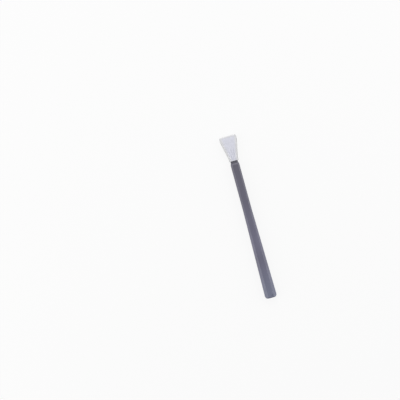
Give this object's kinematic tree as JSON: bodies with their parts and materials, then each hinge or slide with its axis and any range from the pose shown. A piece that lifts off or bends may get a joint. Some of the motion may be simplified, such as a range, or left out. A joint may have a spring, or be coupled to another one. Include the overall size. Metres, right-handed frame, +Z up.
{
  "type": "lens cleaning swab",
  "caption": "Slim flat cleaning swab: a tapered, bevelled plastic handle with a thin flexing neck and a flared, folded white wipe cloth over its blade.",
  "frame": {"origin": "bottom centre of the whole swab's box, on the surface that it lies on", "axes": "+Y along the swab from the grip end to the leading edge of the wipe, +Z up out of the front panel, +X across it"},
  "size_m": [0.0126, 0.1208, 0.0048],
  "materials": {
    "handle_plastic": "satin moulded grey",
    "blade_plastic": "satin moulded dark grey",
    "foam": "soft open-cell foam, off-white",
    "bond_film": "clear to milky adhesive film",
    "wipe_cloth": "white lint-free knitted microfibre"
  },
  "bodies": {
    "grip": {"handle": "handle_plastic"},
    "head": {"blade": "blade_plastic", "foam_liner": "foam", "bond_front": "bond_film", "bond_back": "bond_film", "wipe_cloth": "wipe_cloth"}
  },
  "joints": [
    {"name": "neck_flex", "type": "hinge", "parent": "grip", "child": "head", "pos_m": [0, 0.0412, 0.0024], "axis": [1, 0, 0], "range_deg": [-15, 15], "stiffness_Nm_per_rad": 0.15, "deforming": ["blade"]}
  ]
}
